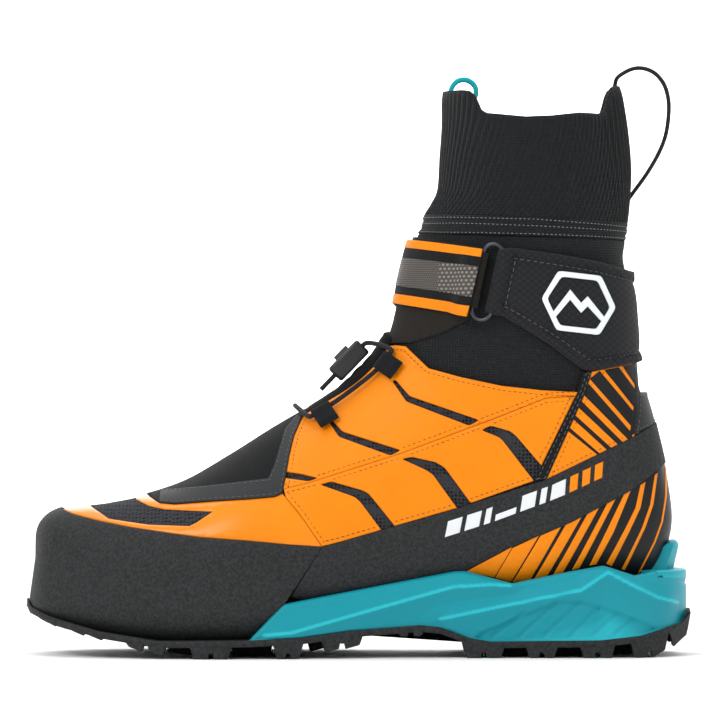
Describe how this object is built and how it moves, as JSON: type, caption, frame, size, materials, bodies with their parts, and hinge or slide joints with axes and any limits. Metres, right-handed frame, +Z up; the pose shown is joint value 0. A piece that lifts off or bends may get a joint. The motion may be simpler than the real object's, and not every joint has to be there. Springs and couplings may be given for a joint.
{
  "type": "alpine touring boot",
  "caption": "Ankle-high alpine boot for a left foot: knitted sock cuff, orange and black upper, rubber rand, strap with metal ring, lace lock, foam midsole with heel ledge, lugged outsole.",
  "frame": {"origin": "middle of the boot's box, on the ground under the lugs", "axes": "+Z up; the toe points along -X and the heel along +X; the outer side of the foot faces -Y"},
  "size_m": [0.3038, 0.1064, 0.2701],
  "materials": {
    "knit": "knitted polyamide, black",
    "mesh_cloth": "woven mesh, black",
    "orange_film": "coated microfibre, orange, fine emboss",
    "rand_rubber": "grained rubber, black",
    "sole_rubber": "moulded rubber, dark grey",
    "black_cloth": "woven polyester, black",
    "grey_film": "welded film, dark grey",
    "grey_stretch": "elastic webbing, brown grey",
    "turquoise_foam": "moulded foam, turquoise",
    "turquoise_tape": "woven tape, turquoise",
    "reflective": "webbing with reflective print",
    "black_steel": "blackened wire",
    "black_plastic": "moulded acetal, black",
    "button_plastic": "moulded acetal, grey",
    "spring_steel": "rolled strip, bright",
    "carbon": "carbon laminate",
    "board": "pressed fibre board",
    "footbed_foam": "foam with a textile face",
    "dark_foam": "moulded foam, dark grey",
    "print": "printed film, off-white"
  },
  "bodies": {
    "boot": {"ankle_sock": "knit", "cuff_band": "knit", "knit_cuff": "knit", "footbed": "footbed_foam", "lasting_board": "board", "carbon_plate": "carbon", "mesh_shell": "mesh_cloth", "heel_tab": "grey_film", "heel_band": "rand_rubber", "heel_wrap": "orange_film", "toe_rand": "rand_rubber", "toe_cap": "orange_film", "toe_knit": "mesh_cloth", "instep_cover": "black_cloth", "tongue": "black_cloth", "ankle_collar": "black_cloth", "strap_band": "grey_stretch", "lace": "black_cloth", "heel_ledge": "turquoise_foam", "midsole": "turquoise_foam", "forefoot_midsole": "dark_foam", "outsole": "sole_rubber", "high_quarter_outer": "orange_film", "low_quarter_outer": "orange_film", "stay_strip_outer": "black_cloth", "heel_side_outer": "orange_film", "cover_border_outer": "grey_film", "emblem_outer": "print", "lace_loop_low_outer": "black_cloth", "lace_loop_high_outer": "black_cloth", "high_quarter_inner": "orange_film", "low_quarter_inner": "orange_film", "stay_strip_inner": "black_cloth", "heel_side_inner": "orange_film", "cover_border_inner": "grey_film", "emblem_inner": "print", "lace_loop_low_inner": "black_cloth", "lace_loop_high_inner": "black_cloth"},
    "tab": {"strap_tab": "reflective"},
    "ring": {"strap_ring": "black_steel"},
    "lock": {"lace_lock": "black_plastic", "lock_spring": "spring_steel"},
    "button": {"lock_button": "button_plastic"},
    "front_loop": {"front_pull_loop": "turquoise_tape"},
    "heel_loop": {"heel_pull_loop": "black_cloth"}
  },
  "joints": [
    {"name": "tab_peel", "type": "hinge", "parent": "boot", "child": "tab", "pos_m": [0.05449, -0.03624, 0.17097], "axis": [0.2059, -0.046, 0.9775], "range_deg": [0, 120]},
    {"name": "ring_swing", "type": "hinge", "parent": "boot", "child": "ring", "pos_m": [0.06303, -0.03834, 0.16907], "axis": [0.2059, -0.046, 0.9775], "range_deg": [-2.8, 2.8]},
    {"name": "lock_slide", "type": "slide", "parent": "boot", "child": "lock", "axis": [-0.6946, -0.0041, -0.7193], "range_m": [0, 0.006]},
    {"name": "button_press", "type": "slide", "parent": "lock", "child": "button", "axis": [0.7193, 0, -0.6947], "range_m": [0, 0.002], "stiffness_N_per_m": 400, "springref_m": -0.001, "deforming": ["lock_spring"]},
    {"name": "front_loop_lean", "type": "hinge", "parent": "boot", "child": "front_loop", "pos_m": [0.044, 0.00078, 0.249], "axis": [0, 1, 0], "range_deg": [0, 60], "stiffness_Nm_per_rad": 0.002},
    {"name": "heel_loop_swing", "type": "hinge", "parent": "boot", "child": "heel_loop", "pos_m": [0.12227, 0.00078, 0.2364], "axis": [-0.146, 0, 0.9893], "range_deg": [-75, 75], "stiffness_Nm_per_rad": 0.001}
  ]
}
